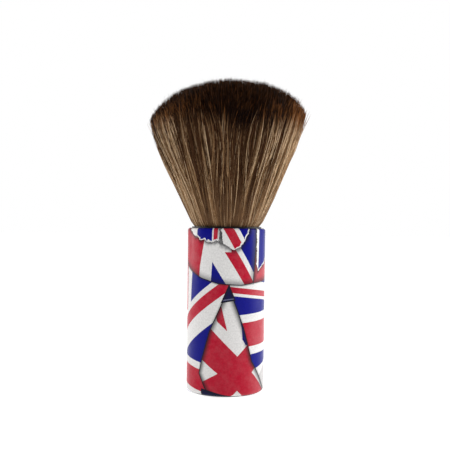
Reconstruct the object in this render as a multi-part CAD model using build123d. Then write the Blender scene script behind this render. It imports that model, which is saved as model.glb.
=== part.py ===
"""Neck duster brush: a hollow printed handle with a cupped, potted knot of soft fibres.

Millimetres. +Z is up along the handle, the origin is at the centre of the base, and -Y is the front.
Each sub-part is written to parts/NODE.step.
"""

from build123d import *
import math
import os

# ---------------------------------------------------------------- driving dimensions
HANDLE_RADIUS = 20.5  # over the printed film
HANDLE_TOP = 85.5  # top of the film's rim
FILM = 0.25  # thickness of the shrunk film
TOP_CORNER = 1.2  # outer radius of the film round the rim
BASE_CORNER = 2.0  # outer radius of the film round the base edge
FILM_BASE = 0.3  # the film stops this far above the foot of the base cap
FILM_TURN_IN_TOP = 19.1  # radius at which the turned-in film ends, on the rim
FILM_TURN_IN_BASE = 19.35  # and under the base edge

WALL = 1.75  # tube wall
LEDGE_DEPTH = 18.0  # top of the ledge that the cup stands on, below the rim
LEDGE_HEIGHT = 1.8
LEDGE_WIDTH = 1.8
RIB_COUNT = 6  # stiffening ribs down the inside of the tube
RIB_WIDTH = 1.4
RIB_HEIGHT = 0.9
RIB_CLEARANCE = 1.0  # between the ribs and the cap's skirt

CAP_FLANGE_RADIUS = 19.0
CAP_FLANGE_HEIGHT = 2.5
CAP_SKIRT_HEIGHT = 7.0
CAP_SKIRT_WALL = 1.5
CAP_FOOT_CORNER = 0.6
CAP_LEAD_IN = 0.5
CAP_RIBS = 8
CAP_RIB_RADIUS = 0.5
FIT = 0.1  # radial room between a plug and the bore it goes into

CUP_PROUD = 0.8  # the cup's lip stands this far above the rim
CUP_WALL = 1.15
CUP_FLOOR = 1.6
GLUE = 0.15  # glue line between cup and tube
GLUE_GROOVES = (5.0, 10.0)  # below the rim: grooves in the cup that key the glue
GLUE_GROOVE_HEIGHT = 1.6
GLUE_GROOVE_DEPTH = 0.45

RESIN_HEIGHT = 7.4  # potting resin in the bottom of the cup
KNOT_SINK = 5.0  # the fibres stand this deep in the resin
KNOT_RADIUS = 15.8  # of the bound fibres
KNOT_SHOULDER = 6.0  # below the rim: the bound fibres begin to open out
KNOT_SPREAD = 3.0  # below the rim: they fill the cup
THREAD = 1.0  # binding thread
THREAD_TURNS = 3

FAN_FOOT_RADIUS = 18.15  # of the fan where it leaves the cup
FAN_MIDDLE = (30.4, 27.0)  # radius, height above the rim: a point half way up the fan's side
FAN_EDGE = (41.6, 56.3)  # radius, height above the rim, of its widest ring
FAN_HEIGHT = 78.0  # dome's top above the rim
QUARTER_ROUND = 0.5523  # handle length, over its side, of a Bezier curve that draws a quarter ellipse

# The fan bends at two levels. Each cut between its zones is a sphere round that level's hinge.
LOWER_BEND = 0.0  # height above the rim
LOWER_CUT_RADIUS = 22.5
UPPER_BEND = 28.0
UPPER_CUT_RADIUS = 33.5
BEND_GAP = 0.3

# ---------------------------------------------------------------- worked out
TUBE_RADIUS = HANDLE_RADIUS - FILM
BORE = TUBE_RADIUS - WALL
TUBE_TOP = HANDLE_TOP - FILM
TUBE_BASE = FILM_BASE + FILM
LEDGE_TOP = HANDLE_TOP - LEDGE_DEPTH
CUP_RADIUS = BORE - GLUE
CUP_BORE = CUP_RADIUS - CUP_WALL
CUP_TOP = HANDLE_TOP + CUP_PROUD
RESIN_BASE = LEDGE_TOP + CUP_FLOOR
RESIN_TOP = RESIN_BASE + RESIN_HEIGHT
KNOT_BASE = RESIN_TOP - KNOT_SINK


def turned(*outline):
    """The solid of revolution about Z of a closed outline given as edges in the XZ plane."""
    return revolve(make_face(Wire(outline)), Axis.Z, 360)


def ring(outer, inner, low, high):
    """A plain ring, or a disc where inner is 0."""
    height = high - low
    body = Pos(0, 0, low) * Cylinder(outer, height, align=(Align.CENTER, Align.CENTER, Align.MIN))
    if inner > 0:
        body -= Pos(0, 0, low - 1) * Cylinder(
            inner, height + 2, align=(Align.CENTER, Align.CENTER, Align.MIN)
        )
    return body


def xz(radius, height):
    return Vector(radius, 0, height)


def low_angle(radius, centre, arc_radius):
    """The angle, below horizontal, at which an arc round centre reaches the radius from the axis."""
    return -math.degrees(math.acos((radius - centre[0]) / arc_radius))


def path_xz(*points):
    """Straight edges through the points, closed back to the first."""
    corners = [xz(*p) for p in points]
    return [Line(a, b) for a, b in zip(corners, corners[1:] + corners[:1])]


def corner_arc(centre, radius, start_deg, end_deg):
    """An arc in the XZ plane round centre, with angles from +X towards +Z."""

    def at(angle):
        turn = math.radians(angle)
        return xz(centre[0] + radius * math.cos(turn), centre[1] + radius * math.sin(turn))

    return ThreePointArc(at(start_deg), at((start_deg + end_deg) / 2), at(end_deg))


# ---------------------------------------------------------------- handle
def handle_tube():
    """Moulded tube: rounded outer edges, a ledge for the cup, stiffening ribs, a seat for the cap."""
    top_corner, base_corner = TOP_CORNER - FILM, BASE_CORNER - FILM
    seat = CAP_FLANGE_RADIUS + FIT
    ledge = BORE - LEDGE_WIDTH
    high_arc = corner_arc((TUBE_RADIUS - top_corner, TUBE_TOP - top_corner), top_corner, 0, 90)
    low_centre = (TUBE_RADIUS - base_corner, TUBE_BASE + base_corner)
    low_arc = corner_arc(low_centre, base_corner, low_angle(seat, low_centre, base_corner), 0)
    # The ledge's underside slopes, so that the moulding core draws out of the tube.
    inside = (
        (BORE, TUBE_TOP),
        (BORE, LEDGE_TOP),
        (ledge, LEDGE_TOP),
        (ledge, LEDGE_TOP - LEDGE_HEIGHT),
        (BORE, LEDGE_TOP - LEDGE_HEIGHT - LEDGE_WIDTH),
        (BORE, CAP_FLANGE_HEIGHT),
        (seat, CAP_FLANGE_HEIGHT),
    )
    inside_edges = Polyline(*[xz(*p) for p in inside]).edges()
    tube = turned(
        low_arc,
        Line(low_arc @ 1, high_arc @ 0),
        high_arc,
        Line(high_arc @ 1, xz(*inside[0])),
        *inside_edges,
        Line(xz(*inside[-1]), low_arc @ 0),
    )
    rib_low = CAP_FLANGE_HEIGHT + CAP_SKIRT_HEIGHT + RIB_CLEARANCE
    rib_high = LEDGE_TOP - LEDGE_HEIGHT
    rib = Pos(BORE, 0, (rib_low + rib_high) / 2) * Box(2 * RIB_HEIGHT, RIB_WIDTH, rib_high - rib_low)
    return tube.fuse(*[Rot(0, 0, i * 360 / RIB_COUNT) * rib for i in range(RIB_COUNT)])


def print_film():
    """Printed sleeve, shrunk on: it follows the tube and turns in over both ends."""
    top, base, radius = HANDLE_TOP, FILM_BASE, HANDLE_RADIUS
    high_centre = (radius - TOP_CORNER, top - TOP_CORNER)
    low_centre = (radius - BASE_CORNER, base + BASE_CORNER)
    low_end = low_angle(FILM_TURN_IN_BASE, low_centre, BASE_CORNER)
    outer_low = corner_arc(low_centre, BASE_CORNER, low_end, 0)
    inner_low = corner_arc(low_centre, BASE_CORNER - FILM, low_end, 0)
    outer_high = corner_arc(high_centre, TOP_CORNER, 0, 90)
    inner_high = corner_arc(high_centre, TOP_CORNER - FILM, 0, 90)
    return turned(
        outer_low,
        Line(outer_low @ 1, outer_high @ 0),
        outer_high,
        Line(outer_high @ 1, xz(FILM_TURN_IN_TOP, top)),
        Line(xz(FILM_TURN_IN_TOP, top), xz(FILM_TURN_IN_TOP, top - FILM)),
        Line(xz(FILM_TURN_IN_TOP, top - FILM), inner_high @ 1),
        inner_high,
        Line(inner_high @ 0, inner_low @ 1),
        inner_low,
        Line(inner_low @ 0, outer_low @ 0),
    )


def base_cap():
    """Press-in end plug: a flat foot, a flange in the tube's seat and a skirt with crush ribs."""
    skirt = BORE - FIT
    skirt_top = CAP_FLANGE_HEIGHT + CAP_SKIRT_HEIGHT
    foot_centre = (CAP_FLANGE_RADIUS - CAP_FOOT_CORNER, CAP_FOOT_CORNER)
    foot_arc = corner_arc(foot_centre, CAP_FOOT_CORNER, -90, 0)
    rest = (
        (CAP_FLANGE_RADIUS, CAP_FLANGE_HEIGHT),
        (skirt, CAP_FLANGE_HEIGHT),
        (skirt, skirt_top - CAP_LEAD_IN),
        (skirt - CAP_LEAD_IN, skirt_top),
        (skirt - CAP_SKIRT_WALL, skirt_top),
        (skirt - CAP_SKIRT_WALL, CAP_FLANGE_HEIGHT),
        (0, CAP_FLANGE_HEIGHT),
        (0, 0),
    )
    cap = turned(
        foot_arc,
        Line(foot_arc @ 1, xz(*rest[0])),
        *Polyline(*[xz(*p) for p in rest]).edges(),
        Line(xz(*rest[-1]), foot_arc @ 0),
    )
    # The crush ribs just touch the bore, and stop short of the lead-in.
    rib_height = CAP_SKIRT_HEIGHT - 2 * CAP_LEAD_IN
    rib = Pos(skirt, 0, CAP_FLANGE_HEIGHT + rib_height / 2) * Cylinder(CAP_RIB_RADIUS, rib_height)
    bore = ring(BORE, 0, 0, skirt_top)
    return cap.fuse(*[Rot(0, 0, (i + 0.5) * 360 / CAP_RIBS) * rib & bore for i in range(CAP_RIBS)])


# ---------------------------------------------------------------- knot
def glue_grooves():
    return [
        ring(
            CUP_RADIUS + 0.5,
            CUP_RADIUS - GLUE_GROOVE_DEPTH,
            HANDLE_TOP - depth - GLUE_GROOVE_HEIGHT,
            HANDLE_TOP - depth,
        )
        for depth in GLUE_GROOVES
    ]


def knot_cup():
    """Black cup that the fibres are potted in. Its lip shows as a thin ring above the handle."""
    cup = ring(CUP_RADIUS, 0, LEDGE_TOP, CUP_TOP) - ring(CUP_BORE, 0, RESIN_BASE, CUP_TOP + 1)
    for groove in glue_grooves():
        cup -= groove
    return cup


def cup_adhesive():
    """Glue line between the cup and the tube, keyed into the cup's two grooves."""
    low = LEDGE_TOP + 1.0
    glue = ring(BORE, CUP_RADIUS, low, TUBE_TOP - 1.5)
    beads = [groove & ring(CUP_RADIUS + GLUE, 0, low, TUBE_TOP) for groove in glue_grooves()]
    return glue.fuse(*beads)


def potting_resin():
    """Cured resin in the cup, with the knot standing in it."""
    return ring(CUP_BORE, 0, RESIN_BASE, RESIN_TOP) - ring(KNOT_RADIUS, 0, KNOT_BASE, RESIN_TOP + 1)


def knot_binding():
    """Turns of waxed thread that hold the knot together for potting."""
    turns = [
        Pos(0, 0, RESIN_TOP + THREAD * (i + 0.5)) * Torus(KNOT_RADIUS + THREAD / 2, THREAD / 2)
        for i in range(THREAD_TURNS)
    ]
    return Compound(children=turns)


# ---------------------------------------------------------------- fibres
def fan_section():
    """Half section of the whole visible fan: flared side, widest ring, rounded dome over the top."""
    foot = xz(FAN_FOOT_RADIUS, CUP_TOP)
    middle = xz(FAN_MIDDLE[0], HANDLE_TOP + FAN_MIDDLE[1])
    edge = xz(FAN_EDGE[0], HANDLE_TOP + FAN_EDGE[1])
    crown = xz(0, HANDLE_TOP + FAN_HEIGHT)
    rise = xz(0, (FAN_HEIGHT - FAN_EDGE[1]) * QUARTER_ROUND)
    reach = xz(FAN_EDGE[0] * QUARTER_ROUND, 0)
    outline = (
        Line(xz(0, CUP_TOP), foot),
        ThreePointArc(foot, middle, edge),
        Bezier(edge, edge + rise, crown + reach, crown),
        Line(crown, xz(0, CUP_TOP)),
    )
    return make_face(Wire(outline))


def bend_disc(height, radius):
    """Section of the ball that a fan zone turns on, its centre this far above the rim."""
    return Plane(origin=xz(0, HANDLE_TOP + height), x_dir=(1, 0, 0), z_dir=(0, -1, 0)) * Circle(radius)


def turned_section(section):
    return revolve(section, Axis.Z, 360)


def bristle_roots():
    """The bound foot of the fibres in the cup, and the dome-ended stub that stays still above it."""
    shoulder, spread = HANDLE_TOP - KNOT_SHOULDER, HANDLE_TOP - KNOT_SPREAD
    foot = turned(
        *path_xz(
            (0, KNOT_BASE),
            (KNOT_RADIUS, KNOT_BASE),
            (KNOT_RADIUS, shoulder),
            (CUP_BORE, spread),
            (CUP_BORE, CUP_TOP),
            (0, CUP_TOP),
        )
    )
    return foot + turned_section(fan_section() & bend_disc(LOWER_BEND, LOWER_CUT_RADIUS))


def bristles_lower():
    """The part of the fan that leans when the brush is swept sideways."""
    below_bend = fan_section() & bend_disc(UPPER_BEND, UPPER_CUT_RADIUS)
    return turned_section(below_bend - bend_disc(LOWER_BEND, LOWER_CUT_RADIUS + BEND_GAP))


def bristles_upper():
    """The part of the fan that bends again above it, to the front or back."""
    return turned_section(fan_section() - bend_disc(UPPER_BEND, UPPER_CUT_RADIUS + BEND_GAP))


PARTS = {
    "handle_tube": handle_tube,
    "print_film": print_film,
    "base_cap": base_cap,
    "knot_cup": knot_cup,
    "cup_adhesive": cup_adhesive,
    "potting_resin": potting_resin,
    "knot_binding": knot_binding,
    "bristle_roots": bristle_roots,
    "bristles_lower": bristles_lower,
    "bristles_upper": bristles_upper,
}

os.makedirs("parts", exist_ok=True)
for node, make in PARTS.items():
    export_step(make(), f"parts/{node}.step")
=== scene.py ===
"""Looks of a neck duster brush: printed film, thousands of separate fibres and moulded plastic.

Lengths are in millimetres in the named values, the artwork and the fibres' arithmetic, and in metres in
Blender.
"""

import math

import bpy
import numpy as np
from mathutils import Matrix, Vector


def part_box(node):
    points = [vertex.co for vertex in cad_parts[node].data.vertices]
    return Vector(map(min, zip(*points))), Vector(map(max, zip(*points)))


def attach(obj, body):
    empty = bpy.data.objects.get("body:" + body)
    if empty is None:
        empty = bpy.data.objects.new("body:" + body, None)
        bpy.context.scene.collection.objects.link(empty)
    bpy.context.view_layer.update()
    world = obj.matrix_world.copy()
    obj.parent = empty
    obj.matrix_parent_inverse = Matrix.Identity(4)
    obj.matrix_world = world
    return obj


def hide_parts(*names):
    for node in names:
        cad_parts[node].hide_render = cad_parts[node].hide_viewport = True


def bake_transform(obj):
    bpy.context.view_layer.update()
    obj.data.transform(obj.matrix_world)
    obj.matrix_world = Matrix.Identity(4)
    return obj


MM = 0.001
SEED = 7

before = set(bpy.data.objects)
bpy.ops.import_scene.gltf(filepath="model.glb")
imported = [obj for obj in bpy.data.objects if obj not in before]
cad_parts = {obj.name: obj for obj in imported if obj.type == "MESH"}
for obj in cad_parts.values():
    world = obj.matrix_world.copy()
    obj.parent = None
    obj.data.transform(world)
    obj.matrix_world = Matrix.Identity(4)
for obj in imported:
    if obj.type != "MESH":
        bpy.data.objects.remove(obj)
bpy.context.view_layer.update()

# ---------------------------------------------------------------- sizes read from the CAD parts of model.glb, in mm
film_low, film_high = (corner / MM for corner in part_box("print_film"))
fan_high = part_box("bristles_upper")[1] / MM
cup_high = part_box("knot_cup")[1] / MM
resin_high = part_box("potting_resin")[1] / MM
RIM = film_high.z
HANDLE_RADIUS = film_high.x
FAN_RADIUS = fan_high.x
FAN_HEIGHT = fan_high.z - RIM
CUP_LIP = cup_high.z - RIM
CUP_BORE = resin_high.x
RESIN_DEPTH = RIM - resin_high.z


# ---------------------------------------------------------------- camera, lights, floor
EYE_DISTANCE = 407.0
EYE_HEIGHT = 87.2
EYE_SIDE = -0.9  # the camera stands this far to the right of the brush's axis
FOCAL_LENGTH = 61.3
SENSOR_WIDTH = 36
CAMERA_ROLL = -0.65  # degrees
FLOOR_HALF_WIDTH = 6.0  # metres
FLOOR_GLOW = 0.6


def add_camera():
    """Level camera in front of the brush, turned a little about its own line of sight."""
    data = bpy.data.cameras.new("camera")
    data.lens = FOCAL_LENGTH
    data.sensor_width = SENSOR_WIDTH
    data.clip_start = 0.01
    camera = bpy.data.objects.new("camera", data)
    camera.location = Vector((EYE_SIDE, -EYE_DISTANCE, EYE_HEIGHT)) * MM
    camera.rotation_euler = (math.radians(90), math.radians(CAMERA_ROLL), 0)
    bpy.context.scene.collection.objects.link(camera)
    bpy.context.scene.camera = camera


def add_area_light(name, azimuth, elevation, distance, size, watts):
    """A square soft light aimed at the handle's rim, in metres and degrees.

    Azimuth 0 is the camera's side and 90 its right.
    """
    aim = Vector((0, 0, RIM * MM))
    turn, rise = math.radians(azimuth), math.radians(elevation)
    away = Vector((math.sin(turn) * math.cos(rise), -math.cos(turn) * math.cos(rise), math.sin(rise)))
    data = bpy.data.lights.new(name, "AREA")
    data.size = size
    data.energy = watts
    light = bpy.data.objects.new(name, data)
    light.location = aim + away * distance
    light.rotation_euler = away.to_track_quat("Z", "Y").to_euler()
    bpy.context.scene.collection.objects.link(light)


def add_world(seen, front, behind):
    """White surroundings: what the camera sees of them, and the light they give in front and behind."""
    world = bpy.data.worlds.new("studio")
    world.use_nodes = True
    tree = world.node_tree
    background = tree.nodes["Background"]
    background.inputs["Color"].default_value = (1, 1, 1, 1)
    direction = node(tree, "TexCoord", output="Generated")
    lit = ease(tree, node(tree, "SeparateXYZ", {0: direction}, "Y"), -0.5, 0.5, front, behind)
    is_seen = node(tree, "LightPath", output="Is Camera Ray")
    strength = node(tree, "MapRange", {"Value": is_seen, "To Min": lit, "To Max": seen})
    tree.links.new(strength, background.inputs["Strength"])
    bpy.context.scene.world = world


def add_floor():
    """A wide, pale floor."""
    half = FLOOR_HALF_WIDTH
    corners = [(-half, -half, 0), (half, -half, 0), (half, half, 0), (-half, half, 0)]
    mesh = bpy.data.meshes.new("floor")
    mesh.from_pydata(corners, [], [(0, 1, 2, 3)])
    floor = bpy.data.objects.new("floor", mesh)
    material, tree, shader = new_material("floor_paper", roughness=0.9)
    grain = noise(tree, object_point(tree), 60, detail=2)
    pale = ramp(tree, grain, [(0, (0.93, 0.93, 0.93)), (1, (0.97, 0.97, 0.97))])
    tree.links.new(pale, shader.inputs["Base Color"])
    shader.inputs["Emission Color"].default_value = (1, 1, 1, 1)
    shader.inputs["Emission Strength"].default_value = FLOOR_GLOW
    mesh.materials.append(material)
    bpy.context.scene.collection.objects.link(floor)


# ---------------------------------------------------------------- material helpers
def node(tree, kind, inputs=None, output=0, **settings):
    """Adds a node, sets or links its inputs, and returns one of its outputs."""
    made = tree.nodes.new("ShaderNode" + kind)
    for key, value in settings.items():
        setattr(made, key, value)
    for key, value in (inputs or {}).items():
        if isinstance(value, bpy.types.NodeSocket):
            tree.links.new(value, made.inputs[key])
        else:
            made.inputs[key].default_value = value
    return made.outputs[output]


def calc(tree, operation, *values, clamp=False):
    """One step of arithmetic."""
    return node(tree, "Math", dict(enumerate(values)), operation=operation, use_clamp=clamp)


def mix(tree, factor, under, over, blend_type="MIX"):
    """over on under, by factor. Colours are sockets or (r, g, b)."""
    colours = [c if isinstance(c, bpy.types.NodeSocket) else (*c, 1) for c in (under, over)]
    made = tree.nodes.new("ShaderNodeMix")
    made.data_type = "RGBA"
    made.blend_type = blend_type
    for index, value in ((0, factor), (6, colours[0]), (7, colours[1])):
        if isinstance(value, bpy.types.NodeSocket):
            tree.links.new(value, made.inputs[index])
        else:
            made.inputs[index].default_value = value
    return made.outputs[2]


def noise(tree, point, scale, detail, roughness=0.5):
    """Fractal noise from 0 to 1, with features about 1 / scale of the point's units."""
    inputs = {"Vector": point, "Scale": scale, "Detail": detail, "Roughness": roughness}
    return node(tree, "TexNoise", inputs)


def ramp(tree, factor, stops):
    """A colour ramp through (position, (r, g, b)) stops."""
    made = tree.nodes.new("ShaderNodeValToRGB")
    elements = made.color_ramp.elements
    while len(elements) < len(stops):
        elements.new(0.5)
    for element, (position, colour) in zip(elements, stops):
        element.position = position
        element.color = (*colour, 1)
    tree.links.new(factor, made.inputs[0])
    return made.outputs[0]


def ease(tree, value, low, high, to_low=0.0, to_high=1.0):
    """Value's smooth step between low and high, as to_low to to_high."""
    inputs = {"Value": value, "From Min": low, "From Max": high, "To Min": to_low, "To Max": to_high}
    return node(tree, "MapRange", inputs, interpolation_type="SMOOTHSTEP")


def object_point(tree):
    return node(tree, "TexCoord", output="Object")


def bump(tree, height, distance, strength=1.0):
    return node(tree, "Bump", {"Height": height, "Distance": distance, "Strength": strength})


def new_material(name, roughness=0.5, **sockets):
    """A principled material, its node tree and its shader.

    sockets names further inputs of the shader, with _ for a space.
    """
    material = bpy.data.materials.new(name)
    material.use_nodes = True
    tree = material.node_tree
    shader = tree.nodes["Principled BSDF"]
    shader.inputs["Roughness"].default_value = roughness
    for key, value in sockets.items():
        shader.inputs[key.replace("_", " ")].default_value = value
    return material, tree, shader


# ---------------------------------------------------------------- artwork on the film
# The film is drawn unrolled, in millimetres: across is the distance round the handle from the front, to the
# right, and up is the height above the foot.
RED = (0.38, 0.002, 0.02)
BLUE = (0.003, 0.004, 0.175)
PAPER = (0.64, 0.63, 0.62)
INK = (0.008, 0.008, 0.012)
NAVY = (0.004, 0.005, 0.05)
# Paper painted darker at the right side: painted shade against the strong side light there.
SHADED_PAPER = (0.47, 0.46, 0.455)
FOLD = (0.16, 0.17, 0.3)  # a worn crease in the navy
CHALK = 0.045  # how much paper shows through the red ink where it is chalky
RED_PALER_RIGHT = 0.05  # and how much more the red is mixed with paper colour towards the right
RED_PALER_FROM = (10, 18)  # places across between which that sets in
FLAG_CROSS = (3.0, 5.0)  # half widths of the upright cross and of its border, in a flag 60 by 30
FLAG_DIAGONAL = (2.0, 3.0)  # width of the thin diagonal, half width of the broad one under it
DIAGONAL_SLOPE = 0.5


def flag_group():
    """The union flag as a function of a point in its own 60 by 30 units.

    Upright and Level widen or narrow the two bars of its cross.
    """
    group = bpy.data.node_groups.new("union_flag", "ShaderNodeTree")
    group.interface.new_socket("Point", in_out="INPUT", socket_type="NodeSocketVector")
    for name in ("Upright", "Level"):
        group.interface.new_socket(name, in_out="INPUT", socket_type="NodeSocketFloat")
    group.interface.new_socket("Color", in_out="OUTPUT", socket_type="NodeSocketColor")
    point, upright, level = list(group.nodes.new("NodeGroupInput").outputs)[:3]
    x, y = (node(group, "SeparateXYZ", {0: point}, axis) for axis in (0, 1))
    across, up = calc(group, "ABSOLUTE", x), calc(group, "ABSOLUTE", y)
    quadrant = calc(group, "SIGN", calc(group, "MULTIPLY", x, y))
    from_diagonal = calc(group, "MULTIPLY_ADD", across, -DIAGONAL_SLOPE, up)
    from_diagonal = calc(group, "MULTIPLY", from_diagonal, math.cos(math.atan(DIAGONAL_SLOPE)))
    sided = calc(group, "MULTIPLY", from_diagonal, quadrant)
    broad = calc(group, "LESS_THAN", calc(group, "ABSOLUTE", from_diagonal), FLAG_DIAGONAL[1])
    thin_middle = calc(group, "SUBTRACT", sided, FLAG_DIAGONAL[0] / 2)
    thin = calc(group, "LESS_THAN", calc(group, "ABSOLUTE", thin_middle), FLAG_DIAGONAL[0] / 2)
    from_upright, from_level = calc(group, "DIVIDE", across, upright), calc(group, "DIVIDE", up, level)
    from_cross = calc(group, "MINIMUM", from_upright, from_level)
    border = calc(group, "LESS_THAN", from_cross, FLAG_CROSS[1])
    cross = calc(group, "LESS_THAN", from_cross, FLAG_CROSS[0])
    colour = mix(group, broad, BLUE, PAPER)
    colour = mix(group, thin, colour, RED)
    colour = mix(group, border, colour, PAPER)
    colour = mix(group, cross, colour, RED)
    group.links.new(colour, group.nodes.new("NodeGroupOutput").inputs[0])
    return group


def flag(tree, group, point, centre, angle, unit, bars=(1, 1)):
    """A flag with its centre there, turned by angle degrees; unit is the size of its unit across and up.

    bars widens its upright and level bar.
    """
    local = node(
        tree,
        "Mapping",
        {
            "Vector": point,
            "Location": (*centre, 0),
            "Rotation": (0, 0, math.radians(angle)),
            "Scale": (unit[0], unit[1], 1),
        },
        vector_type="TEXTURE",
    )
    made = tree.nodes.new("ShaderNodeGroup")
    made.node_tree = group
    tree.links.new(local, made.inputs[0])
    for socket, width in zip(list(made.inputs)[1:], bars):
        socket.default_value = width
    return made.outputs[0]


def outline_distance(tree, point, corners):
    """Signed distance, in mm, from a convex outline given anticlockwise: negative inside it."""
    distance = None
    for (x0, y0), (x1, y1) in zip(corners, corners[1:] + corners[:1]):
        length = math.hypot(x1 - x0, y1 - y0)
        outward = ((y1 - y0) / length, (x0 - x1) / length, 0)
        along = node(tree, "VectorMath", {0: point, 1: outward}, "Value", operation="DOT_PRODUCT")
        beyond = calc(tree, "SUBTRACT", along, x0 * outward[0] + y0 * outward[1])
        distance = beyond if distance is None else calc(tree, "MAXIMUM", distance, beyond)
    return distance


# The flag that lies under all the panels, as centre, angle, unit and bars.
LEFT_GROUND = ((-52, 15.1), -10, (1.73, 3.65), (1, 0.49))
# The panels of the collage, from the lowest to the uppermost. All outlines are convex and anticlockwise.
#   corners: its outline. widened: a second outline that is joined to it.
#   flag: the flag printed on it, as LEFT_GROUND. Without one, what is under the panel shows.
#   patches: plain areas painted on that, each an outline and a colour.
#   torn: depth of its ragged edge. rim: width of the bare paper along it. line: width of its inked edge.
#   cast: width and strength of the shadow it throws. shade: the same of the darkening inside its edge.
PANELS = [
    dict(
        name="left_edge",
        corners=[(-36, 40), (-22.5, 45), (-20.8, 66), (-36, 70)],
        patches=[
            ([(-36, 38), (-19, 38), (-19, 70), (-36, 70)], PAPER),
            ([(-36, 38), (-26.5, 38), (-26.5, 70), (-36, 70)], RED),
        ],
    ),
    dict(
        name="right_ground",
        corners=[(2, -9), (46, -9), (46, 70), (2, 70)],
        flag=((132, 40.5), 4, (3.46, 1.35), (1, 1.53)),
        patches=[
            # Painted shade: darker paper at the right.
            ([(14, -9), (46, -9), (46, 31), (25.2, 14.1), (19.4, 9.3), (14, 3.5)], SHADED_PAPER),
            ([(31.5, -9), (46, -9), (46, 29.5), (31.5, 18)], RED),
        ],
        shade=(5, 0.25),
    ),
    dict(
        name="wedge",
        corners=[
            (-13.5, 6.2),
            (-10.4, 3.4),
            (-4, -9),
            (22.5, -9),
            (14.8, 18.5),
            (9.9, 35),
            (1.5, 56.5),
            (-8.8, 33.5),
            (-13.4, 18),
            (-15.1, 10.5),
        ],
        widened=[(0, -9), (34.7, -9), (12.8, 21.2), (0, 15)],
        flag=((6.2, 12.6), 135, (1.7, 2.04), (1.2, 1)),
        patches=[
            ([(-18, -4), (-1, 12.6), (-18, 28)], RED),
            ([(-18, 4.7), (-3.9, 12.5), (-18, 23)], PAPER),
            ([(2.5, 53), (2.5, 42), (8.6, 27), (9, 33), (5.8, 46)], PAPER),
            ([(-6, 34.5), (2, 30.5), (0.9, 34), (-5.6, 40)], PAPER),
            ([(8, 39.8), (8.9, 29.7), (11, 26.5), (12.5, 27.5), (9.5, 40)], BLUE),
        ],
        cast=(1.0, 0.3),
        shade=(3.4, 0.9),
        line=0.45,
    ),
    dict(
        name="wedge_top",
        corners=[(-2.7, 48.2), (5, 49.5), (1.5, 58)],
        patches=[
            ([(-9, 40), (12, 40), (1.5, 66)], NAVY),
            ([(-3, 49.1), (6, 50.4), (6, 51), (-3, 49.7)], FOLD),
        ],
        shade=(2.4, 0.8),
        line=0.4,
    ),
    dict(
        name="foot_band",
        corners=[(-14, -9), (5, -9), (3, 1.6), (-8, 3.6), (-13, 4.8)],
        patches=[([(-20, -12), (20, -12), (20, 12), (-20, 12)], NAVY)],
        shade=(3.0, 0.8),
    ),
    dict(
        name="upper_sheet",
        corners=[
            (-36, 72),
            (-24, 65),
            (-14, 60.5),
            (-4, 57.8),
            (8, 57.1),
            (15.3, 58),
            (18.9, 96),
            (-36, 96),
        ],
        flag=((-22.6, 108), -4, (1.5, 4.04), (2.4, 0.3)),
        patches=[
            ([(-12, 74), (2.5, 74), (2.5, 86), (-12, 86)], PAPER),
            ([(-20, 64), (-15.2, 64), (-12, 79.5), (-12, 90), (-20, 90)], RED),
        ],
        cast=(0.9, 0.6),
        shade=(4.0, 0.6),
        line=0.4,
        torn=0.15,
    ),
    dict(
        name="upper_right_sheet",
        corners=[(15.3, 58), (26, 59), (36, 61.5), (46, 66), (46, 96), (18.9, 96)],
        flag=((28, 62), 0, (1.9, 1.9), (2.5, 1)),
        shade=(3.6, 0.75),
        cast=(0.8, 0.4),
        line=0.2,
    ),
    dict(
        name="strip",
        corners=[(17.8, 68), (19, 64.4), (21, 65.2), (24, 67), (31, 70.5), (40, 76), (40, 90), (17.8, 90)],
        flag=((12.3, 120), -2, (1.2, 1.0), (1.45, 0.3)),
        torn=1.5,
        rim=0.7,
        cast=(1.6, 0.85),
    ),
    dict(
        name="left_flap",
        corners=[(-27, 88), (-20, 83), (-14, 80.2), (-8, 79), (-3.8, 79.8), (-2.6, 90), (-27, 90)],
        flag=((-4.9, 104), -2, (0.37, 1.4), (1, 0.5)),
        patches=[
            ([(-30, 70), (-17, 70), (-15.5, 95), (-30, 95)], PAPER),
            ([(-17.5, 70), (-9, 70), (-9, 95), (-16.5, 95)], BLUE),
        ],
        torn=2.2,
        rim=0.7,
        cast=(2.8, 0.85),
    ),
    dict(
        name="right_flap",
        corners=[
            (-2.6, 84),
            (-1.5, 78),
            (3.9, 75.1),
            (7.4, 76.8),
            (10.2, 80.8),
            (13.3, 87),
            (13.3, 90),
            (-2.6, 90),
        ],
        flag=((-13.1, 106), 0, (1.2, 4.2), (1, 0.3)),
        torn=1.3,
        rim=0.6,
        cast=(3.0, 0.85),
    ),
    dict(
        name="rear_sheet",
        corners=[(40, 22), (52, 10), (70, 14), (70, 96), (44, 96), (36, 60)],
        flag=((55, 52), 18, (1.5, 1.5), (1, 1)),
        torn=0.8,
        rim=0.7,
        cast=(2.0, 0.7),
    ),
    dict(
        name="rear_left_sheet",
        corners=[(-70, 34), (-50, 26), (-40, 40), (-43, 74), (-50, 96), (-70, 96)],
        flag=((-50, 62), -24, (1.35, 1.35), (1, 1)),
        torn=0.8,
        rim=0.7,
        cast=(2.0, 0.7),
    ),
    dict(
        name="rear_wedge",
        corners=[(-64, -9), (-42, -9), (-47, 20), (-54, 44), (-61, 18)],
        flag=((-54, 10), 45, (1.6, 1.6), (1, 1)),
        cast=(1.2, 0.4),
        shade=(3.0, 0.8),
        line=0.45,
    ),
]


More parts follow.
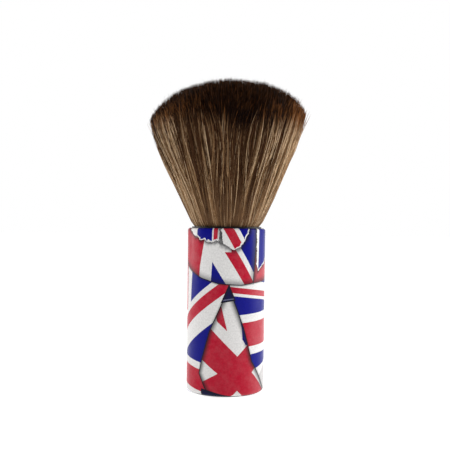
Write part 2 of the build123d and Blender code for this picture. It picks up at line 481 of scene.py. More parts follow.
def draw_panel(tree, group, point, ragged, under, panel):
    """One panel over what is under it.

    Its shadow comes first, then its face with flag and patches, then its darkened edge, its bare torn rim
    and its inked line.
    """
    distance = outline_distance(tree, point, panel["corners"])
    if "widened" in panel:
        distance = calc(tree, "MINIMUM", distance, outline_distance(tree, point, panel["widened"]))
    if "torn" in panel:
        distance = calc(tree, "MULTIPLY_ADD", ragged, panel["torn"] * 2, distance)
    if "cast" in panel:
        width, strength = panel["cast"]
        under = mix(tree, ease(tree, distance, 0, width, strength, 0), under, INK)
    face = flag(tree, group, point, *panel["flag"]) if "flag" in panel else under
    for corners, colour in panel.get("patches", []):
        inside = calc(tree, "LESS_THAN", outline_distance(tree, point, corners), 0)
        face = mix(tree, inside, face, colour)
    if "shade" in panel:
        width, strength = panel["shade"]
        face = mix(tree, ease(tree, distance, -width, 0, 0, strength), face, INK)
    if "rim" in panel:
        face = mix(tree, calc(tree, "GREATER_THAN", distance, -panel["rim"]), face, PAPER)
    if "line" in panel:
        face = mix(tree, calc(tree, "GREATER_THAN", distance, -panel["line"]), face, INK)
    return mix(tree, calc(tree, "LESS_THAN", distance, 0), under, face)


def film_material():
    """Glossy printed film: a torn-paper collage of flags, with chalky red ink and faint mottling."""
    material, tree, shader = new_material("print_film", roughness=0.25, Specular_IOR_Level=0.08)
    point = node(tree, "Attribute", output="Vector", attribute_name="unrolled")
    group = flag_group()
    coarse = noise(tree, point, 0.45, detail=4, roughness=0.65)
    ragged = calc(tree, "SUBTRACT", coarse, 0.5)
    colour = flag(tree, group, point, *LEFT_GROUND)
    for panel in PANELS:
        colour = draw_panel(tree, group, point, ragged, colour, panel)
    # The red ink is chalky in places, and mixed with paper colour all over towards the right.
    red, blue = (node(tree, "SeparateColor", {0: colour}, channel) for channel in (0, 2))
    redness = calc(tree, "MULTIPLY", calc(tree, "SUBTRACT", red, blue), 2.6, clamp=True)
    across = node(tree, "SeparateXYZ", {0: point}, "X")
    chalk_and_paling = ease(tree, noise(tree, point, 0.16, detail=7, roughness=0.75), 0.34, 0.68, 0, CHALK)
    chalk_and_paling = calc(tree, "ADD", chalk_and_paling, ease(tree, across, *RED_PALER_FROM, 0, RED_PALER_RIGHT))
    colour = mix(tree, calc(tree, "MULTIPLY", redness, chalk_and_paling), colour, PAPER)
    mottle = ease(tree, noise(tree, point, 1.1, detail=5, roughness=0.7), 0.3, 0.7, 0.86, 1.08)
    mottle = node(tree, "CombineColor", {0: mottle, 1: mottle, 2: mottle})
    colour = mix(tree, 1.0, colour, mottle, "MULTIPLY")
    tree.links.new(colour, shader.inputs["Base Color"])
    orange_peel = noise(tree, point, 0.6, detail=2)
    tree.links.new(bump(tree, orange_peel, 0.02 * MM, 0.6), shader.inputs["Normal"])
    return material


# ---------------------------------------------------------------- film
FILM = 0.25  # thickness
TOP_CORNER = 1.2  # radius of the film's corner at the rim
BASE_CORNER = 2.0
BASE_CORNER_HEIGHT = 1.81  # of its centre above the film's lower edge
TOP_TURN_IN = 19.1  # radius at which the turned-in film ends
BASE_TURN_IN = 19.35
FILM_COLUMNS = 420
CORNER_ROWS = 9
WALL_ROWS = 40
LAP = 2.4  # width of the lap seam down the back
LAP_RISE = 0.14  # how far the free edge stands off the film under it
PLEATS = 74  # round the rim
PLEAT_MIX = (0.38, 1, 1.62)  # the pleats are a sum of waves, this many times as many each
PLEAT_SHIFT = 6.3  # radians by which each wave may be shifted round the rim
PLEAT_DEPTH = 0.075
PLEAT_START = 0.25  # how far in from the wall the pleats start
PLEAT_GROWTH = 1.2  # and how much farther in they reach their full depth
UV_MARGIN = 0.005
UV_STRIP = 0.04  # height of the film's inner face in the baking layout


def arc_points(centre, radius, start, end, count):
    """Points on an arc between two angles in degrees."""
    turns = np.radians(np.linspace(start, end, count))
    return np.stack([centre[0] + radius * np.cos(turns), centre[1] + radius * np.sin(turns)], 1)


def film_profile():
    """Outer face of the film from its turned-in rim down to its turned-in base: radius, height."""
    top_centre = (HANDLE_RADIUS - TOP_CORNER, RIM - TOP_CORNER)
    base_centre = (HANDLE_RADIUS - BASE_CORNER, film_low.z + BASE_CORNER_HEIGHT)
    base_end = -math.degrees(math.acos((BASE_TURN_IN - base_centre[0]) / BASE_CORNER))
    wall_heights = np.linspace(top_centre[1], base_centre[1], WALL_ROWS + 2)[1:-1]
    wall = np.stack([np.full(WALL_ROWS, HANDLE_RADIUS), wall_heights], 1)
    return np.concatenate(
        [
            [(TOP_TURN_IN, RIM)],
            arc_points(top_centre, TOP_CORNER, 90, 0, CORNER_ROWS),
            wall,
            arc_points(base_centre, BASE_CORNER, 0, base_end, CORNER_ROWS),
        ]
    )


def grid_mesh(name, columns, rows, points, closed_rows):
    """A mesh of quads over a grid of points, column by column.

    closed_rows joins the last row to the first and closes the two end columns.
    """
    index = np.arange(columns * rows).reshape(columns, rows)
    if closed_rows:
        index = np.concatenate([index, index[:, :1]], 1)
    quads = np.stack([index[:-1, :-1], index[1:, :-1], index[1:, 1:], index[:-1, 1:]], -1).reshape(-1, 4)
    faces = quads.tolist()
    if closed_rows:
        faces += [index[0, :-1].tolist(), index[-1, :-1][::-1].tolist()]
    mesh = bpy.data.meshes.new(name)
    mesh.from_pydata(points.reshape(-1, 3).tolist(), [], faces)
    mesh.validate()
    return mesh


def print_film():
    """The shrunk sleeve: a closed thin shell with a lap seam at the back and pleats where it turns in."""
    rng = np.random.default_rng(SEED)
    outer = film_profile()
    along = np.gradient(outer, axis=0)
    inward = np.stack([along[:, 1], -along[:, 0]], 1)
    inner = outer + FILM * inward / np.linalg.norm(inward, axis=1, keepdims=True)
    walked = np.concatenate([[0], np.cumsum(np.hypot(*np.diff(outer, axis=0).T))])
    drawn = RIM + HANDLE_RADIUS - TOP_TURN_IN - walked
    profile = np.concatenate([outer, inner[::-1]])
    height = np.concatenate([drawn, drawn[::-1]])

    half_turn = math.pi * HANDLE_RADIUS
    across = np.linspace(-half_turn, half_turn + LAP, FILM_COLUMNS)
    turn = across / HANDLE_RADIUS
    # The lap's free edge rides over the other edge, which starts the sleeve.
    lift = smooth((across - (half_turn - LAP)) / LAP)
    lift = (lift * (LAP_RISE + FILM))[:, None]
    radius = profile[None, :, 0] + lift
    up = np.repeat(profile[None, :, 1], FILM_COLUMNS, 0)
    # Pleats deepen from the corner inwards, on both faces alike.
    near_rim = np.clip((HANDLE_RADIUS - PLEAT_START - profile[:, 0]) / PLEAT_GROWTH, 0, 1)
    near_rim = near_rim * (profile[:, 1] > RIM / 2)
    wobble = sum(
        rng.uniform(0.5, 1) * np.sin(turn * round(PLEATS * part) + rng.uniform(0, PLEAT_SHIFT))
        for part in PLEAT_MIX
    )
    up = up + PLEAT_DEPTH * wobble[:, None] * near_rim[None, :]
    points = np.stack([radius * np.sin(turn)[:, None], -radius * np.cos(turn)[:, None], up], -1) * MM
    mesh = grid_mesh("print_film_sleeve", FILM_COLUMNS, len(profile), points, closed_rows=True)
    unrolled = np.stack(
        [
            np.repeat(across[:, None], len(profile), 1),
            np.repeat(height[None], FILM_COLUMNS, 0),
            np.zeros((FILM_COLUMNS, len(profile))),
        ],
        -1,
    ).reshape(-1, 3)
    attribute = mesh.attributes.new("unrolled", "FLOAT_VECTOR", "POINT")
    attribute.data.foreach_set("vector", unrolled.astype(np.float32).ravel())
    set_film_uv(mesh, unrolled, len(outer), len(profile))
    mesh.shade_smooth()
    sleeve = bpy.data.objects.new("print_film_sleeve", mesh)
    bpy.context.scene.collection.objects.link(sleeve)
    mesh.materials.append(film_material())
    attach(sleeve, "handle")
    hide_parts("print_film")


def set_film_uv(mesh, unrolled, outer_rows, rows):
    """Baking layout: the outer face fills the square, the inner face and edges share a strip below it."""
    low, high = unrolled.min(0), unrolled.max(0)
    share = (unrolled - low)[:, :2] / (high - low)[:2]
    loops = np.zeros(len(mesh.loops), np.int32)
    mesh.loops.foreach_get("vertex_index", loops)
    starts = np.zeros(len(mesh.polygons), np.int32)
    totals = np.zeros(len(mesh.polygons), np.int32)
    mesh.polygons.foreach_get("loop_start", starts)
    mesh.polygons.foreach_get("loop_total", totals)
    row = loops % rows
    face = np.repeat(np.arange(len(starts)), totals)
    farthest = np.zeros(len(starts), np.int32)
    np.maximum.at(farthest, face, row)
    is_outer = (farthest < outer_rows)[face]
    across, up = share[loops].T
    v_outer = UV_STRIP + UV_MARGIN + up * (1 - UV_STRIP - 2 * UV_MARGIN)
    v = np.where(is_outer, v_outer, up * (UV_STRIP - UV_MARGIN))
    uv = np.stack([UV_MARGIN + across * (1 - 2 * UV_MARGIN), v], 1)
    mesh.uv_layers.new(name="OFBake").data.foreach_set("uv", uv.astype(np.float32).ravel())


# ---------------------------------------------------------------- fibres
FIBRES = 26000
LOCKS = 190  # broad locks, which differ in colour and part a little
TUFTS = 2200  # fine tufts within them
GATHER_END = 36.0  # height at which the fibres of a tuft are nearest together
SPREAD_FROM = 0.62  # share of its height above which a fibre leaves its tuft again
SPREAD = 0.75  # share of the way back to its own place that it gets
FIBRE_RADIUS = 0.105
SPLIT = 16.0  # height above the rim at which each fibre passes from its lower to its upper length
OVERLAP = 1.0  # the lower length of a fibre runs on for this much inside the upper one
OVERLAP_THICKNESS = 0.6
CORE = 0.7  # share of the fan's radius inside which fibres are drawn with fewer rings
RING_HEIGHT = 56.2  # of the fan's widest ring, above the rim
RING_TILT = 1.4  # the ring is this much higher at the right than in the middle
LEFT_DROP = 2.2  # and it droops by this much more at the left
LOOSE = 0.04  # share of stray fibres
FLYAWAYS = 0.035  # share of fibres that stand off from the rest towards their tips
FLYAWAY = 0.07  # how far off they stand at most, in shares of the fan's radius
DARK_END = 2.4  # length of the dark end on the fibres of the ring; those of the dome are dark for longer
DARKEST_AT = 0.25  # place across the fan, in shares of its radius, where the dark ends are longest
DARKEST_EXTRA = 4.0
# How much the dark ends are painted paler at places across the fan, darker below 0: painted light.
TIP_PLACES = (-0.95, -0.65, -0.2, 0.4, 0.6, 0.9)
TIP_PAINTED_LIGHT = (0, 0.2, 0.05, 0, -0.1, 0.12)
REACH = 0.97  # share of the fan's radius beyond which a straying fibre is held back
HELD = 0.55  # share of its way beyond that which it is held back by
# Outline of the fan's two sides, as height above the rim and radius, up to its widest ring.
RIGHT_SIDE = [(0, 17.9), (17, 25.0), (41, 34.8), (58, 41.3)]
LEFT_SIDE = [(0, 17.8), (17, 25.2), (41, 37.0), (55, 41.6)]
SPREAD_ABOVE = 0.42  # how fast the fan would go on widening above the ring
LIP_GATHER = 1.0  # the fibres are drawn in by this much where they leave the cup
LIP_REACH = 4.0  # and up to this far above it
FAIR = 0.07  # share of fair fibres
SHORT = 0.06  # share of fibres that end below the dome
SHORTER = (1, 6)  # by this much
# How far the fibres, locks and tufts are shaken from an even spread, in shares of their spacing.
HOME_JITTER, LOCK_JITTER, TUFT_JITTER = 0.8, 1.2, 1.5
TUFT_PULL = (0.1, 0.8)  # a tuft draws its fibres in by this share of the way, and a lock
LOCK_PULL = (0.1, 0.5)  # by this share of what is left
STRAY = 0.035  # how far a stray fibre stands from its neighbours, in shares of the fan's radius
UNEVEN = 0.01  # and how far every fibre does
BOW, WAVE = 0.015, 0.01  # how far a fibre bends one way, and one way and back, in the same shares
WANDER_FIBRE, WANDER_TUFT, WANDER_LOCK = 1.7, 1.6, 2.5  # parts of that for each fibre, tuft and lock
# How unevenly locks, tufts and fibres end, and how much the fibres as a whole are raised.
LOCK_TOP, TUFT_TOP, FIBRE_TOP, RAISED = 0.12, 0.45, 0.8, 0.45
THICKNESS_SPREAD = 0.1
FAIR_THICKER = 0.15
# Tone is 0 for the darkest fibres and 1 for the fairest; fibres inside the fan get a painted shade.
# Painted shade: the tone rises between these two values over these shares of the fan's radius.
SURFACE = (0.84, 0.95)
DEPTH_SHADE = (-0.2, 0.12)
LOCK_TONE, TUFT_TONE, FIBRE_TONE = 0.14, 0.22, 0.26  # how much the tones vary
# Painted light: tones rise towards the fan's two sides, in place of the light on its flanks.
RIGHT_LIGHT_RISE = 1.8  # power by which they rise to the right side, by 1 in all
LEFT_LIGHT_RISE = 1.3  # and to the left side
LEFT_LIGHT = 0.62  # by this much in all
FAIR_TONE = (0.6, 1)
DARK_GROWTH = 1.2  # a dark end is this much longer for each mm that its fibre ends above the ring
DARKEST_WIDTH = 0.45  # of the place where they are longest
LEFT_PLACES = (-0.95, -0.65, 0)  # places at the left where the dark ends are longer or shorter
LEFT_LONGER = (2.2, -2.4, 0)
LOCK_DARK, FIBRE_DARK = 1.2, 1.6  # how much the lengths of the dark ends vary
# The fibres in the cup: the knot is narrower at the bottom and fills the cup near its lip.
KNOT_SHOULDER = 6.0  # depth below the rim at which it starts to widen
KNOT_FLARE = 4.0  # height over which it does
KNOT_NARROW = 1.5
CUP_CLEARANCE = 0.25
SHELL_RINGS = (3.5, 8.5)  # heights of the rings that only the outer fibres have
SHELL_PIECES = 3
UPPER_PIECES = 5
UPPER_RINGS = (0, 0.2, 0.4, 0.6, 0.8, 0.95, 1)  # places of the rings on an upper length, as shares of it
UPPER_TAPER = (1, 1, 1, 1, 0.95, 0.75, 0)  # and its thickness there
CELL_MARGIN = 0.06  # round a fibre's cell in the baking layout
DOME_STEPS = 30  # halvings that settle a fibre's height
BATCH = 4000  # points that are matched at a time


def side_radius(points, height):
    """A cubic through a side's four points, and a straight line above the last."""
    top = points[-1][0]
    curve = np.polyfit(*np.transpose(points), 3)
    return np.polyval(curve, np.minimum(height, top)) + SPREAD_ABOVE * np.maximum(height - top, 0)


def fan_radius(height, turn):
    """Radius of the whole fan at a height above the rim. turn is the angle round the axis from +X."""
    right = (1 + np.cos(turn)) / 2
    gather = LIP_GATHER * np.clip(1 - (height - CUP_LIP) / LIP_REACH, 0, 1) ** 2
    sides = side_radius(RIGHT_SIDE, height) * right + side_radius(LEFT_SIDE, height) * (1 - right)
    return sides - gather


def smooth(value):
    """Smooth step from 0 to 1."""
    value = np.clip(value, 0, 1)
    return value * value * (3 - 2 * value)


def dome_height(place):
    """Height at which a fibre that ends at this place in the fan meets the dome."""
    share = np.linalg.norm(place, axis=1)
    turn = np.arctan2(place[:, 1], place[:, 0])
    dome = FAN_HEIGHT - RING_HEIGHT
    height = np.full(len(place), RING_HEIGHT)
    for _ in range(DOME_STEPS):
        radius = share * fan_radius(height, turn)
        across = radius * np.cos(turn) / FAN_RADIUS
        ring = RING_HEIGHT + RING_TILT * across - LEFT_DROP * np.minimum(across, 0) ** 2
        met = ring + dome * np.sqrt(np.clip(1 - (radius / FAN_RADIUS) ** 2, 0, 1))
        height = (height + met) / 2
    return height


def nearest(points, centres):
    """Index of the centre nearest each point."""
    found = np.empty(len(points), np.int64)
    for start in range(0, len(points), BATCH):
        part = points[start : start + BATCH]
        found[start : start + BATCH] = ((part[:, None] - centres[None]) ** 2).sum(-1).argmin(1)
    return found


def scattered(rng, count, jitter):
    """Points spread evenly over the unit disc, then shaken."""
    step = np.arange(count) + 0.5
    radius, turn = np.sqrt(step / count), step * math.pi * (3 - math.sqrt(5))
    spread = rng.normal(0, jitter / math.sqrt(count), (count, 2))
    points = np.stack([radius * np.cos(turn), radius * np.sin(turn)], 1) + spread
    length = np.linalg.norm(points, axis=1, keepdims=True)
    return points / np.maximum(length, 1)


def strayed(rng, amount, lock, tuft):
    """A sideways wander for every fibre, shared for the most part by its tuft and its lock."""
    wander = rng.normal(0, amount * WANDER_FIBRE, (FIBRES, 2))
    wander += rng.normal(0, amount * WANDER_TUFT, (TUFTS, 2))[tuft]
    return wander + rng.normal(0, amount * WANDER_LOCK, (LOCKS, 2))[lock]


def fan_fibres(rng):
    """Where every fibre stands, how tall, how thick, and its colour, with painted light and shade."""
    home = scattered(rng, FIBRES, HOME_JITTER)
    locks, tufts = scattered(rng, LOCKS, LOCK_JITTER), scattered(rng, TUFTS, TUFT_JITTER)
    lock, tuft = nearest(home, locks), nearest(home, tufts)
    pull = rng.uniform(*TUFT_PULL, TUFTS)[tuft][:, None]
    clump = (tufts[tuft] - home) * pull
    clump += (locks[lock] - home - clump) * rng.uniform(*LOCK_PULL, LOCKS)[lock][:, None]
    loose = rng.random(FIBRES) < LOOSE
    fair = rng.random(FIBRES) < FAIR
    loose |= fair
    clump[loose] += rng.normal(0, STRAY, (loose.sum(), 2))
    clump += rng.normal(0, UNEVEN, (FIBRES, 2))

    top = dome_height(home + clump * (1 - SPREAD))
    top += rng.normal(0, LOCK_TOP, LOCKS)[lock] + rng.normal(0, TUFT_TOP, TUFTS)[tuft]
    top += RAISED - np.abs(rng.normal(0, FIBRE_TOP, FIBRES))
    short = rng.random(FIBRES) < SHORT
    top[short] -= rng.uniform(*SHORTER, short.sum())

    # Painted light and shade: fibres are painted fairer at the two sides and darker inside the fan.
    aside = np.abs(home[:, 0])
    outward = np.linalg.norm(home, axis=1)
    tone_and_light = np.interp(outward, SURFACE, DEPTH_SHADE)
    tone_and_light += rng.normal(0, LOCK_TONE, LOCKS)[lock] + rng.normal(0, TUFT_TONE, TUFTS)[tuft]
    painted_side_light = np.where(home[:, 0] > 0, aside**RIGHT_LIGHT_RISE, LEFT_LIGHT * aside**LEFT_LIGHT_RISE)
    tone_and_light += rng.normal(0, FIBRE_TONE, FIBRES) + painted_side_light
    tone_and_light[fair] = rng.uniform(*FAIR_TONE, fair.sum())
    dark = DARK_END + DARK_GROWTH * np.maximum(top - RING_HEIGHT, 0)
    dark = dark + rng.normal(0, LOCK_DARK, LOCKS)[lock]
    dark += np.interp(home[:, 0], LEFT_PLACES, LEFT_LONGER)
    dark += DARKEST_EXTRA * np.exp(-(((home[:, 0] - DARKEST_AT) / DARKEST_WIDTH) ** 2))
    # Painted light on the dark ends, on top of the painted light in the tone.
    tip_tone_and_light = tone_and_light + np.interp(home[:, 0], TIP_PLACES, TIP_PAINTED_LIGHT)
    return dict(
        home=home,
        clump=clump,
        top=top,
        tone_and_light=np.clip(tone_and_light, 0, 1),
        tip_tone_and_light=np.clip(tip_tone_and_light, 0, 1),
        dark=dark + rng.normal(0, FIBRE_DARK, FIBRES),
        bow=strayed(rng, BOW, lock, tuft),
        wave=strayed(rng, WAVE, lock, tuft),
        thick=rng.normal(1, THICKNESS_SPREAD, FIBRES) + FAIR_THICKER * fair,
        twist=rng.uniform(0, 2 * math.pi, FIBRES),
        flyaway=rng.uniform(0, FLYAWAY, FIBRES) * (rng.random(FIBRES) < FLYAWAYS),
    )


def fibre_lines(fibres, heights):
    """Points of the fibres' centre lines, one column per height, in mm above the rim."""
    share = np.clip(heights / fibres["top"][:, None], 0, 1)
    spread = SPREAD * smooth((share - SPREAD_FROM) / (1 - SPREAD_FROM))
    gathered = smooth(heights / GATHER_END) * (1 - spread)
    place = fibres["home"][:, None] + fibres["clump"][:, None] * gathered[..., None]
    place = place + fibres["bow"][:, None] * np.sin(share * math.pi)[..., None]
    place = place + fibres["wave"][:, None] * np.sin(share * 2 * math.pi)[..., None]
    length = np.linalg.norm(place, axis=-1, keepdims=True)
    place = place * (1 - HELD * np.maximum(length - REACH, 0) / length)
    place = place * (1 + fibres["flyaway"][:, None] * share**3)[..., None]
    turn = np.arctan2(place[..., 1], place[..., 0])
    radius = fan_radius(np.maximum(heights, CUP_LIP), turn)
    knot = np.clip((heights + KNOT_SHOULDER) / KNOT_FLARE, 0, 1)
    radius = np.where(heights < CUP_LIP, CUP_BORE - CUP_CLEARANCE - (1 - knot) * KNOT_NARROW, radius)
    x, y = place[..., 0] * radius, place[..., 1] * radius
    return np.stack([x, y, heights], -1)


def fibre_mesh(name, fibres, heights, thickness, pointed):
    """Closed three-sided tubes through the heights, one row of them for each fibre.

    A pointed tube ends in its last point. Any other is cut flat there.
    """
    lines = fibre_lines(fibres, heights)
    count, rings = lines.shape[:2]
    along = fibre_lines(fibres, heights + 0.5) - fibre_lines(fibres, heights - 0.5)
    first = np.cross(along, (1.0, 0.0, 0.0))
    second = np.cross(along, first)
    first, second = (side / np.linalg.norm(side, axis=-1, keepdims=True) for side in (first, second))
    around = (fibres["twist"][:, None] + np.arange(3) * 2 * math.pi / 3)[:, None, :, None]
    offset = first[:, :, None] * np.cos(around) + second[:, :, None] * np.sin(around)
    width = thickness * (FIBRE_RADIUS * fibres["thick"])[:, None]
    points = lines[:, :, None] + offset * width[..., None, None]
    drawn = rings - 1 if pointed else rings
    points = points[:, :drawn].reshape(count, -1, 3)
    if pointed:
        points = np.concatenate([points, lines[:, -1:]], 1)
    per_fibre = points.shape[1]

    side, ring = np.meshgrid(np.arange(3), np.arange(drawn - 1), indexing="ij")
    side, ring = side.ravel(), ring.ravel()
    beside = (side + 1) % 3
    low, high = ring * 3, ring * 3 + 3
    quads = np.stack([low + side, low + beside, high + beside, high + side], 1)
    last = (drawn - 1) * 3
    tips = np.array([[last + k, last + (k + 1) % 3, per_fibre - 1] for k in range(3)])
    triangles = np.concatenate([[[2, 1, 0]], tips if pointed else [[last, last + 1, last + 2]]])

    mesh = bpy.data.meshes.new(name)
    base = np.arange(count)[:, None] * per_fibre
    corners = np.concatenate(
        [(quads.ravel()[None] + base).ravel(), (triangles.ravel()[None] + base).ravel()]
    )
    totals = np.concatenate([np.full(count * len(quads), 4), np.full(count * len(triangles), 3)])
    mesh.vertices.add(count * per_fibre)
    mesh.vertices.foreach_set("co", ((points + (0, 0, RIM)) * MM).astype(np.float32).ravel())
    mesh.loops.add(len(corners))
    mesh.loops.foreach_set("vertex_index", corners.astype(np.int32))
    mesh.polygons.add(len(totals))
    starts = np.concatenate([[0], np.cumsum(totals)[:-1]])
    mesh.polygons.foreach_set("loop_start", starts.astype(np.int32))
    mesh.update(calc_edges=True)
    mesh.shade_flat()

    from_tip = np.linalg.norm(fibre_ends(fibres)[:, None] - lines, axis=2)
    beside_line = np.repeat(from_tip[:, :drawn], 3, 1)
    if pointed:
        beside_line = np.concatenate([beside_line, from_tip[:, -1:]], 1)
    per_point = {
        "from_tip": beside_line,
        "tone_and_light": np.repeat(fibres["tone_and_light"][:, None], per_fibre, 1),
        "tip_tone_and_light": np.repeat(fibres["tip_tone_and_light"][:, None], per_fibre, 1),
        "dark": np.repeat(fibres["dark"][:, None], per_fibre, 1),
    }
    for key, values in per_point.items():
        attribute = mesh.attributes.new(key, "FLOAT", "POINT")
        attribute.data.foreach_set("value", values.astype(np.float32).ravel())
    set_fibre_uv(mesh, count, rings, quads, triangles, side, ring, pointed)
    return mesh


def fibre_ends(fibres):
    """The tips of the fibres."""
    return fibre_lines(fibres, fibres["top"][:, None])[:, 0]


def set_fibre_uv(mesh, count, rings, quads, triangles, side, ring, pointed):
    """Baking layout: each fibre has its own cell of a square, its sides beside each other in it."""
    across = math.ceil(math.sqrt(count))
    cell = np.stack([np.arange(count) % across, np.arange(count) // across], 1)
    step = 1 / (rings - 1)
    u = np.stack([side, side + 1, side + 1, side], 1) / 3
    v = np.stack([ring, ring, ring + 1, ring + 1], 1) * step
    quad_uv = np.stack([u, v], -1).reshape(-1, 2)
    if pointed:
        tip_uv = [[(k / 3, 1 - step), ((k + 1) / 3, 1 - step), ((k + 0.5) / 3, 1)] for k in range(3)]
    else:
        tip_uv = [[(0.0, 1.0), (0.5, 0.98), (1.0, 1.0)]]
    triangle_uv = np.array([[(0.0, 0.0), (0.5, 0.02), (1.0, 0.0)], *tip_uv]).reshape(-1, 2)
    uv = np.concatenate(
        [
            (cell[:, None] + CELL_MARGIN + part[None] * (1 - 2 * CELL_MARGIN)).reshape(-1, 2)
            for part in (quad_uv, triangle_uv)
        ]
    )
    mesh.uv_layers.new(name="OFBake").data.foreach_set("uv", (uv / across).astype(np.float32).ravel())


# Colours of a fibre's body and of its dark end, by its tone, which carries painted light and shade.
BODY_TONES = [
    (0.0, (0.04, 0.016, 0.006)),
    (0.4, (0.175, 0.088, 0.039)),
    (0.75, (0.45, 0.27, 0.13)),
    (1.0, (0.92, 0.68, 0.43)),
]
TIP_TONES = [
    (0.0, (0.004, 0.0008, 0.0003)),
    (0.5, (0.008, 0.0022, 0.0007)),
    (0.75, (0.045, 0.016, 0.0045)),
    (1.0, (0.2, 0.075, 0.021)),
]
STREAK_BROWN = (0.09, 0.045, 0.02)
DULL_BROWN = (0.045, 0.017, 0.006)
DULL_SPAN = (5, 66)  # distances from its tip between which a fibre clears from dull brown to its own tone
FOOT_BROWN = (0.17, 0.095, 0.048)
FOOT_SPAN = (34, 60)  # and between which it takes on the colour of the foot
DARK_BORDER = (-5, 7)  # distances past a dark end's length between which it fades out
# Painted light: the thin points are painted paler, as if light shone through them.
POINT_LIGHT_BROWN = (0.14, 0.056, 0.021)
POINT_LENGTH = 1.8  # of the paler point, which shows most on fibres with a long dark end


def fibre_material():
    """Soft synthetic fibre: tan to umber by fibre, dark brown tips, a paler point of painted light."""
    material, tree, shader = new_material("duster_fibre", roughness=0.45, Specular_IOR_Level=0.04)
    tone_and_light = node(tree, "Attribute", output="Fac", attribute_name="tone_and_light")
    tip_tone_and_light = node(tree, "Attribute", output="Fac", attribute_name="tip_tone_and_light")
    from_tip = node(tree, "Attribute", output="Fac", attribute_name="from_tip")
    dark = node(tree, "Attribute", output="Fac", attribute_name="dark")
    # The tone carries painted side light and a painted shade inside the fan.
    body = ramp(tree, tone_and_light, BODY_TONES)
    streak = noise(tree, object_point(tree), 900, detail=2)
    body = mix(tree, ease(tree, streak, 0.3, 0.7, 0.0, 0.35), body, STREAK_BROWN)
    dulled = ease(tree, from_tip, *DULL_SPAN, 0.92, 0)
    dulled = calc(tree, "MULTIPLY", dulled, ease(tree, tone_and_light, 0.3, 0.95, 1, 0.25))
    body = mix(tree, dulled, body, DULL_BROWN)
    body = mix(tree, ease(tree, from_tip, *FOOT_SPAN, 0, 0.5), body, FOOT_BROWN)
    # The dark ends' tone carries painted light.
    tip_colour = ramp(tree, tip_tone_and_light, TIP_TONES)
    past_dark = calc(tree, "SUBTRACT", from_tip, dark)
    colour = mix(tree, ease(tree, past_dark, *DARK_BORDER, 1, 0), body, tip_colour)
    # Painted light shining through the thin point.
    painted_point_light = ease(tree, from_tip, 0, POINT_LENGTH, 1, 0)
    painted_point_light = calc(tree, "MULTIPLY", painted_point_light, ease(tree, dark, 3, 17, 0.25, 0.55))
    colour = mix(tree, painted_point_light, colour, POINT_LIGHT_BROWN)
    tree.links.new(colour, shader.inputs["Base Color"])
    return material


def pick(fibres, chosen):
    """The chosen ones of the fibres."""
    return {key: value[chosen] for key, value in fibres.items()}


def fibre_pieces():
    """All the fibres, cut into lower and upper pieces that meet at the split."""
    rng = np.random.default_rng(SEED)
    fibres = fan_fibres(rng)
    material = fibre_material()
    core = np.linalg.norm(fibres["home"], axis=1) < CORE
    shell_rings = [-RESIN_DEPTH, CUP_LIP, *SHELL_RINGS, SPLIT, SPLIT + OVERLAP]
    core_rings = [-RESIN_DEPTH, CUP_LIP, SPLIT + OVERLAP]
    groups = [("core", core, core_rings, 1), ("shell", ~core, shell_rings, SHELL_PIECES)]
    for label, members, rings, pieces in groups:
        for number, chosen in enumerate(np.array_split(np.flatnonzero(members), pieces), 1):
            part = pick(fibres, chosen)
            heights = np.repeat([rings], len(chosen), 0)
            thickness = np.ones(heights.shape)
            thickness[:, -1] = OVERLAP_THICKNESS
            name = f"fibres_lower_{label}_{number}"
            mesh = fibre_mesh(name, part, heights, thickness, pointed=False)
            nodes = ["bristle_roots", "bristles_lower"]
            place_fibres(name, mesh, material, nodes)
    for number, chosen in enumerate(np.array_split(np.arange(FIBRES), UPPER_PIECES), 1):
        part = pick(fibres, chosen)
        heights = SPLIT + (part["top"][:, None] - SPLIT) * np.array(UPPER_RINGS)
        name = f"fibres_upper_{number}"
        thickness = np.repeat([UPPER_TAPER], len(chosen), 0)
        mesh = fibre_mesh(name, part, heights, thickness, pointed=True)
        place_fibres(name, mesh, material, ["bristles_upper"])


def place_fibres(name, mesh, material, nodes):
    """Puts a piece in the scene in place of the CAD nodes, which it hides."""
    mesh.materials.append(material)
    piece = bpy.data.objects.new(name, mesh)
    bpy.context.scene.collection.objects.link(piece)
    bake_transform(piece)
    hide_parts(*nodes)


# ---------------------------------------------------------------- CAD nodes that stay
def moulded(name, colour, roughness, grain, depth, gloss=0.5):
    """Moulded plastic: a fine spark-eroded grain, slight unevenness of colour and gloss."""
    material, tree, shader = new_material(name, roughness=roughness, Specular_IOR_Level=gloss)
    point = object_point(tree)
    cloud = noise(tree, point, 120, detail=4)
    darker = tuple(c * 0.7 for c in colour)
    lighter = tuple(min(1, c * 1.3) for c in colour)
    tree.links.new(ramp(tree, cloud, [(0.3, darker), (0.7, lighter)]), shader.inputs["Base Color"])
    uneven = ease(tree, cloud, 0.3, 0.7, roughness - 0.06, roughness + 0.08)
    tree.links.new(uneven, shader.inputs["Roughness"])
    pits = noise(tree, point, grain, detail=2)
    tree.links.new(bump(tree, pits, depth * MM, 0.5), shader.inputs["Normal"])
    return material


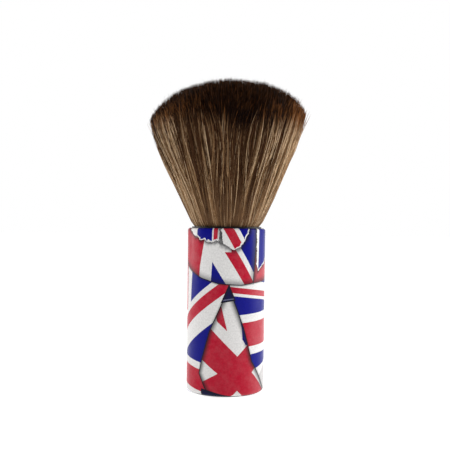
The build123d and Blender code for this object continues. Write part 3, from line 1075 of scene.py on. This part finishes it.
def poured(name, colour, roughness):
    """Cured glue or resin: cloudy, glossy, with small bubbles."""
    material, tree, shader = new_material(name, roughness=roughness, Coat_Weight=0.3)
    point = object_point(tree)
    cloud = noise(tree, point, 260, detail=4)
    shader_colour = ramp(tree, cloud, [(0.25, tuple(c * 0.75 for c in colour)), (0.75, colour)])
    bubbles = node(tree, "TexVoronoi", {"Vector": point, "Scale": 900.0})
    tree.links.new(shader_colour, shader.inputs["Base Color"])
    tree.links.new(bump(tree, ease(tree, bubbles, 0.1, 0.25), 0.05 * MM), shader.inputs["Normal"])
    return material


def waxed_thread():
    """Twisted thread: diagonal plies round the turn, waxed."""
    material, tree, shader = new_material("waxed_thread", roughness=0.55)
    plies = node(
        tree,
        "TexWave",
        {"Vector": object_point(tree), "Scale": 700.0, "Distortion": 1.2, "Detail": 2.0},
        wave_type="BANDS",
        bands_direction="DIAGONAL",
    )
    colour = ramp(tree, plies, [(0, (0.4, 0.36, 0.28)), (1, (0.72, 0.68, 0.58))])
    tree.links.new(colour, shader.inputs["Base Color"])
    tree.links.new(bump(tree, plies, 0.12 * MM), shader.inputs["Normal"])
    return material


def dress_nodes():
    """Gives the CAD nodes that keep their own meshes their materials."""
    black, soft_black, deep_black = (0.012, 0.012, 0.013), (0.01, 0.01, 0.011), (0.006, 0.006, 0.007)
    finishes = {
        "handle_tube": moulded("tube_plastic", black, roughness=0.45, grain=2500, depth=0.01),
        "base_cap": moulded("cap_plastic", soft_black, roughness=0.5, grain=1800, depth=0.02),
        "knot_cup": moulded("cup_plastic", deep_black, roughness=0.4, grain=2500, depth=0.008, gloss=0.15),
        "cup_adhesive": poured("cup_glue", (0.72, 0.68, 0.55), roughness=0.3),
        "potting_resin": poured("potting_resin", (0.45, 0.27, 0.08), roughness=0.22),
        "knot_binding": waxed_thread(),
    }
    for name, material in finishes.items():
        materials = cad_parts[name].data.materials
        materials.clear()
        materials.append(material)


# ---------------------------------------------------------------- scene
bpy.context.scene.view_settings.view_transform = "Standard"
add_camera()
add_world(seen=1.0, front=0.22, behind=0.75)
add_area_light("front", azimuth=14, elevation=38, distance=1.1, size=0.6, watts=3.0)
add_area_light("side_right", azimuth=98, elevation=14, distance=0.9, size=0.6, watts=6.8)
add_area_light("side_left", azimuth=-108, elevation=14, distance=0.9, size=0.6, watts=4.2)
add_floor()
print_film()
fibre_pieces()
dress_nodes()
